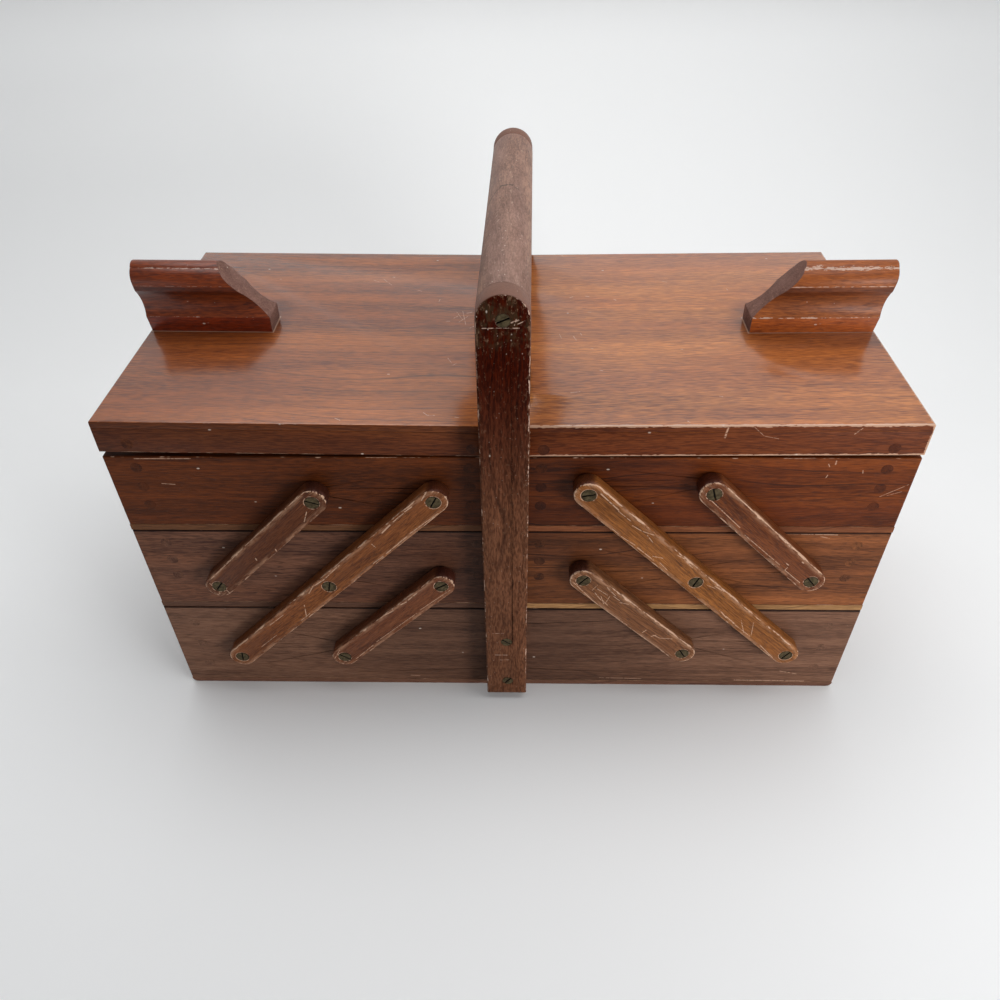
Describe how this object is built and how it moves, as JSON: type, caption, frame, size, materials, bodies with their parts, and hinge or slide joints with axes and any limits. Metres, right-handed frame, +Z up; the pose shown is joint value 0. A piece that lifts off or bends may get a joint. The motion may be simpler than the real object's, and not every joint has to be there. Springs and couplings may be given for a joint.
{
  "type": "sewing carrier",
  "caption": "Wooden cantilever sewing carrier: a base, swinging stacked trays on arms, two hinged lids with moulded pulls, and a fixed carrying handle.",
  "frame": {"origin": "middle of the base's underside, on the surface it stands on", "axes": "+X along the length, front long side facing -Y, +Z up"},
  "size_m": [0.4388, 0.2326, 0.2925],
  "materials": {
    "board_walnut": "dark reddish walnut, worn satin varnish",
    "lid_panel": "walnut veneer, satin, lighter than the boards",
    "lid_rail": "dark reddish walnut, satin",
    "plywood": "stained plywood with a paler edge",
    "arm_walnut": "walnut with rubbed, pale edges",
    "post_walnut": "dark walnut, scuffed",
    "bar_walnut": "worn matt from handling",
    "pull_walnut": "reddish, glossy varnish",
    "screw_brass": "tarnished, dark slots",
    "hinge_brass": "dull"
  },
  "bodies": {
    "base": {"base_bottom": "plywood", "base_front_board": "board_walnut", "base_left_end": "board_walnut", "base_rear_board": "board_walnut", "base_right_end": "board_walnut", "base_screws": "screw_brass", "front_post": "post_walnut", "handle_bar": "bar_walnut", "rear_post": "post_walnut"},
    "left_long_arm_front": {"left_long_arm_front": "arm_walnut"},
    "left_long_arm_rear": {"left_long_arm_rear": "arm_walnut"},
    "left_lower_arm_front": {"left_lower_arm_front": "arm_walnut"},
    "left_lower_arm_rear": {"left_lower_arm_rear": "arm_walnut"},
    "left_upper_arm_front": {"left_upper_arm_front": "arm_walnut"},
    "left_upper_arm_rear": {"left_upper_arm_rear": "arm_walnut"},
    "left_mid_tray": {"left_mid_bottom": "plywood", "left_mid_front_board": "board_walnut", "left_mid_left_end": "board_walnut", "left_mid_rear_board": "board_walnut", "left_mid_right_end": "board_walnut", "left_mid_screws": "screw_brass"},
    "left_top_tray": {"left_top_bottom": "plywood", "left_top_front_board": "board_walnut", "left_top_left_end": "board_walnut", "left_top_rear_board": "board_walnut", "left_top_right_end": "board_walnut", "left_top_screws": "screw_brass", "left_hinge_rail": "board_walnut", "left_fixed_leaves": "hinge_brass"},
    "left_lid": {"left_lid_end_rails": "lid_rail", "left_lid_hinge_leaves": "hinge_brass", "left_lid_long_rails": "lid_rail", "left_lid_panel": "lid_panel", "left_lid_pull": "pull_walnut"},
    "right_long_arm_front": {"right_long_arm_front": "arm_walnut"},
    "right_long_arm_rear": {"right_long_arm_rear": "arm_walnut"},
    "right_lower_arm_front": {"right_lower_arm_front": "arm_walnut"},
    "right_lower_arm_rear": {"right_lower_arm_rear": "arm_walnut"},
    "right_upper_arm_front": {"right_upper_arm_front": "arm_walnut"},
    "right_upper_arm_rear": {"right_upper_arm_rear": "arm_walnut"},
    "right_mid_tray": {"right_mid_bottom": "plywood", "right_mid_front_board": "board_walnut", "right_mid_left_end": "board_walnut", "right_mid_rear_board": "board_walnut", "right_mid_right_end": "board_walnut", "right_mid_screws": "screw_brass"},
    "right_top_tray": {"right_top_bottom": "plywood", "right_top_front_board": "board_walnut", "right_top_left_end": "board_walnut", "right_top_rear_board": "board_walnut", "right_top_right_end": "board_walnut", "right_top_screws": "screw_brass", "right_hinge_rail": "board_walnut", "right_fixed_leaves": "hinge_brass"},
    "right_lid": {"right_lid_end_rails": "lid_rail", "right_lid_hinge_leaves": "hinge_brass", "right_lid_long_rails": "lid_rail", "right_lid_panel": "lid_panel", "right_lid_pull": "pull_walnut"}
  },
  "joints": [
    {"name": "left_long_arm_front_swing", "type": "hinge", "parent": "base", "child": "left_long_arm_front", "pos_m": [-0.1709, -0.10375, 0.0378], "axis": [0, -1, 0], "range_deg": [0, 90]},
    {"name": "left_long_arm_rear_swing", "type": "hinge", "parent": "base", "child": "left_long_arm_rear", "pos_m": [-0.1709, 0.10375, 0.0378], "axis": [0, -1, 0], "range_deg": [0, 90]},
    {"name": "left_lower_arm_front_swing", "type": "hinge", "parent": "base", "child": "left_lower_arm_front", "pos_m": [-0.1049, -0.10375, 0.0384], "axis": [0, -1, 0], "range_deg": [0, 90]},
    {"name": "left_lower_arm_rear_swing", "type": "hinge", "parent": "base", "child": "left_lower_arm_rear", "pos_m": [-0.1049, 0.10375, 0.0384], "axis": [0, -1, 0], "range_deg": [0, 90]},
    {"name": "left_mid_tray_pivot", "type": "hinge", "parent": "left_long_arm_front", "child": "left_mid_tray", "pos_m": [-0.1054, -0.10375, 0.1033], "axis": [0, -1, 0], "range_deg": [-90, 0]},
    {"name": "left_top_tray_pivot", "type": "hinge", "parent": "left_long_arm_front", "child": "left_top_tray", "pos_m": [-0.0399, -0.10375, 0.1688], "axis": [0, -1, 0], "range_deg": [-90, 0]},
    {"name": "left_lid_hinge", "type": "hinge", "parent": "left_top_tray", "child": "left_lid", "pos_m": [-0.01, 0, 0.214], "axis": [0, 1, 0], "range_deg": [0, 78]},
    {"name": "right_long_arm_front_swing", "type": "hinge", "parent": "base", "child": "right_long_arm_front", "pos_m": [0.1738, -0.10375, 0.043], "axis": [0, 1, 0], "range_deg": [0, 90]},
    {"name": "right_long_arm_rear_swing", "type": "hinge", "parent": "base", "child": "right_long_arm_rear", "pos_m": [0.1738, 0.10375, 0.043], "axis": [0, 1, 0], "range_deg": [0, 90]},
    {"name": "right_lower_arm_front_swing", "type": "hinge", "parent": "base", "child": "right_lower_arm_front", "pos_m": [0.1089, -0.10375, 0.044], "axis": [0, 1, 0], "range_deg": [0, 90]},
    {"name": "right_lower_arm_rear_swing", "type": "hinge", "parent": "base", "child": "right_lower_arm_rear", "pos_m": [0.1089, 0.10375, 0.044], "axis": [0, 1, 0], "range_deg": [0, 90]},
    {"name": "right_mid_tray_pivot", "type": "hinge", "parent": "right_long_arm_front", "child": "right_mid_tray", "pos_m": [0.1083, -0.10375, 0.1085], "axis": [0, 1, 0], "range_deg": [-90, 0]},
    {"name": "right_top_tray_pivot", "type": "hinge", "parent": "right_long_arm_front", "child": "right_top_tray", "pos_m": [0.0428, -0.10375, 0.174], "axis": [0, 1, 0], "range_deg": [-90, 0]},
    {"name": "right_lid_hinge", "type": "hinge", "parent": "right_top_tray", "child": "right_lid", "pos_m": [0.01, 0, 0.214], "axis": [0, -1, 0], "range_deg": [0, 78]},
    {"name": "left_upper_arm_front_swing", "type": "hinge", "parent": "left_mid_tray", "child": "left_upper_arm_front", "pos_m": [-0.1707, -0.10375, 0.1028], "axis": [0, -1, 0], "range_deg": [0, 90]},
    {"name": "left_upper_arm_rear_swing", "type": "hinge", "parent": "left_mid_tray", "child": "left_upper_arm_rear", "pos_m": [-0.1707, 0.10375, 0.1028], "axis": [0, -1, 0], "range_deg": [0, 90]},
    {"name": "right_upper_arm_front_swing", "type": "hinge", "parent": "right_mid_tray", "child": "right_upper_arm_front", "pos_m": [0.1741, -0.10375, 0.1095], "axis": [0, 1, 0], "range_deg": [0, 90]},
    {"name": "right_upper_arm_rear_swing", "type": "hinge", "parent": "right_mid_tray", "child": "right_upper_arm_rear", "pos_m": [0.1741, 0.10375, 0.1095], "axis": [0, 1, 0], "range_deg": [0, 90]}
  ],
  "couplings": [
    {"joint": "left_long_arm_rear_swing", "follows": "left_long_arm_front_swing", "ratio": 1},
    {"joint": "left_lower_arm_front_swing", "follows": "left_long_arm_front_swing", "ratio": 1},
    {"joint": "left_lower_arm_rear_swing", "follows": "left_long_arm_front_swing", "ratio": 1},
    {"joint": "left_upper_arm_front_swing", "follows": "left_long_arm_front_swing", "ratio": 1},
    {"joint": "left_upper_arm_rear_swing", "follows": "left_long_arm_front_swing", "ratio": 1},
    {"joint": "left_mid_tray_pivot", "follows": "left_long_arm_front_swing", "ratio": -1},
    {"joint": "left_top_tray_pivot", "follows": "left_long_arm_front_swing", "ratio": -1},
    {"joint": "right_long_arm_rear_swing", "follows": "right_long_arm_front_swing", "ratio": 1},
    {"joint": "right_lower_arm_front_swing", "follows": "right_long_arm_front_swing", "ratio": 1},
    {"joint": "right_lower_arm_rear_swing", "follows": "right_long_arm_front_swing", "ratio": 1},
    {"joint": "right_upper_arm_front_swing", "follows": "right_long_arm_front_swing", "ratio": 1},
    {"joint": "right_upper_arm_rear_swing", "follows": "right_long_arm_front_swing", "ratio": 1},
    {"joint": "right_mid_tray_pivot", "follows": "right_long_arm_front_swing", "ratio": -1},
    {"joint": "right_top_tray_pivot", "follows": "right_long_arm_front_swing", "ratio": -1}
  ]
}
